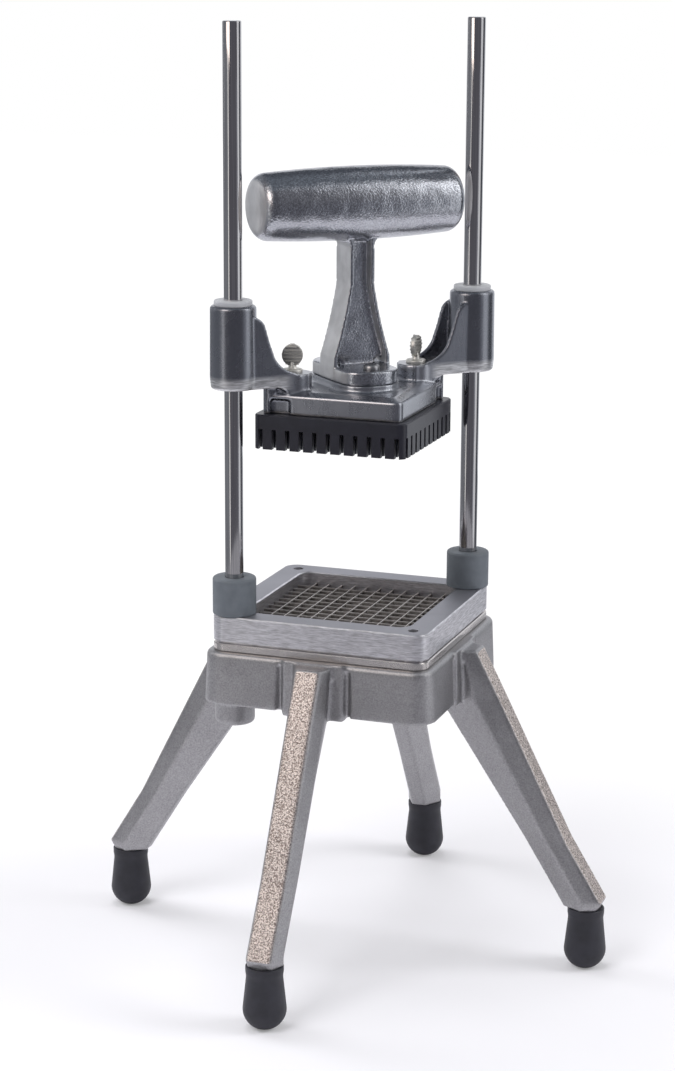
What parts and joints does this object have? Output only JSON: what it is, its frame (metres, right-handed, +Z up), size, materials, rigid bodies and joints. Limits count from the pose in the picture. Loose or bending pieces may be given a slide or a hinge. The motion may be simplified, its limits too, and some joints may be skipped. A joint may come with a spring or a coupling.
{
  "type": "french fry cutter",
  "caption": "Hand-operated french fry cutter: T-handled toothed pusher on two guide rods over a square blade grid, on a cast frame with splayed legs and rubber feet.",
  "frame": {"origin": "on the floor, under the centre of the square base", "axes": "+Z up, -Y towards the front foot, +X towards the right foot; the rods stand on the x = y diagonal"},
  "size_m": [0.3798, 0.3798, 0.6557],
  "materials": {
    "cast_frame": "satin tumbled casting",
    "seat_plate": "polished",
    "blade_frame": "brushed",
    "blades": "ground",
    "screws": "plain",
    "rods": "ground and polished",
    "bumpers": "matte",
    "pusher_casting": "polished casting",
    "toothed_head": "moulded",
    "handle": "tumbled casting",
    "bushings": "moulded nylon",
    "thumb_screws": "plated",
    "feet": "matte"
  },
  "bodies": {
    "stand": {"base_casting": "cast_frame", "seat_plate": "seat_plate", "blade_frame": "blade_frame", "cross_blades": "blades", "lengthwise_blades": "blades", "frame_screws": "screws", "rod_screws": "screws", "left_guide_rod": "rods", "right_guide_rod": "rods", "left_bumper": "bumpers", "right_bumper": "bumpers", "front_foot": "feet", "right_foot": "feet", "back_foot": "feet", "left_foot": "feet"},
    "pusher": {"pusher_casting": "pusher_casting", "pusher_head": "toothed_head", "handle": "handle", "handle_screws": "screws", "left_upper_bushing": "bushings", "left_lower_bushing": "bushings", "right_upper_bushing": "bushings", "right_lower_bushing": "bushings"},
    "left_thumb": {"left_thumb_screw": "thumb_screws"},
    "right_thumb": {"right_thumb_screw": "thumb_screws"}
  },
  "joints": [
    {"name": "pusher_slide", "type": "slide", "parent": "stand", "child": "pusher", "axis": [0, 0, 1], "range_m": [-0.1316, 0.18]},
    {"name": "left_thumb_turn", "type": "hinge", "parent": "pusher", "child": "left_thumb", "pos_m": [-0.0336, -0.0336, 0.4185], "axis": [0, 0, 1], "continuous": true},
    {"name": "right_thumb_turn", "type": "hinge", "parent": "pusher", "child": "right_thumb", "pos_m": [0.0336, 0.0336, 0.4185], "axis": [0, 0, 1], "continuous": true}
  ]
}
